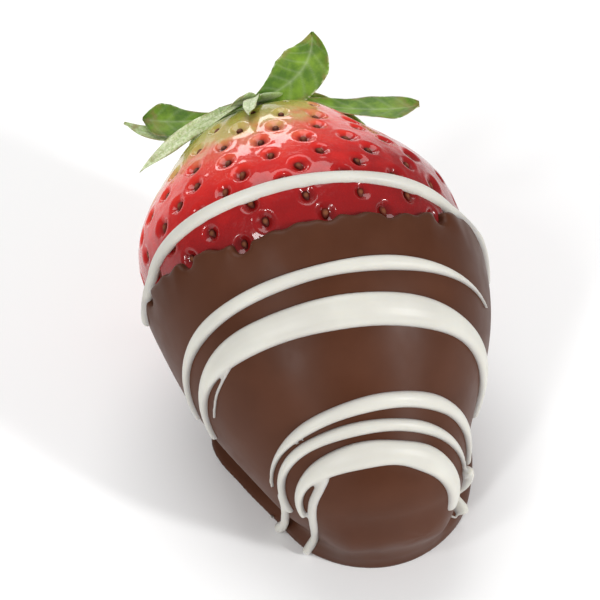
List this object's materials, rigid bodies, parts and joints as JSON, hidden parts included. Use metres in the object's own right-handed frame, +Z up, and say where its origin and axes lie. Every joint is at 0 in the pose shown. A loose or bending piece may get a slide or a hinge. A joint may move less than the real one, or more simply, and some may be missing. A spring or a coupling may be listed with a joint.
{
  "type": "chocolate coated strawberry",
  "caption": "Ripe strawberry with its green crown, dipped in dark chocolate and striped with white chocolate, lying on its side on the flat foot of set chocolate",
  "frame": {"origin": "on the foot's rest face, under the middle of the berry's length", "axes": "+Z up, -Y from the leafy crown towards the tip, +X to the right of someone who looks from the tip towards the crown"},
  "size_m": [0.0415, 0.0563, 0.0406],
  "materials": {
    "berry_flesh": "moist shining fruit skin, bright red, deeper towards the chocolate, with a pale ring and a green shoulder at the crown",
    "seed": "small dry brown seeds, one in each dimple",
    "dark_chocolate": "satin set dark chocolate",
    "white_chocolate": "soft satin set white chocolate",
    "leaf": "green leaf, smooth inside and pale and woolly outside"
  },
  "bodies": {
    "root": {"berry": "berry_flesh", "coat": "dark_chocolate", "calyx": "leaf"}
  },
  "joints": []
}
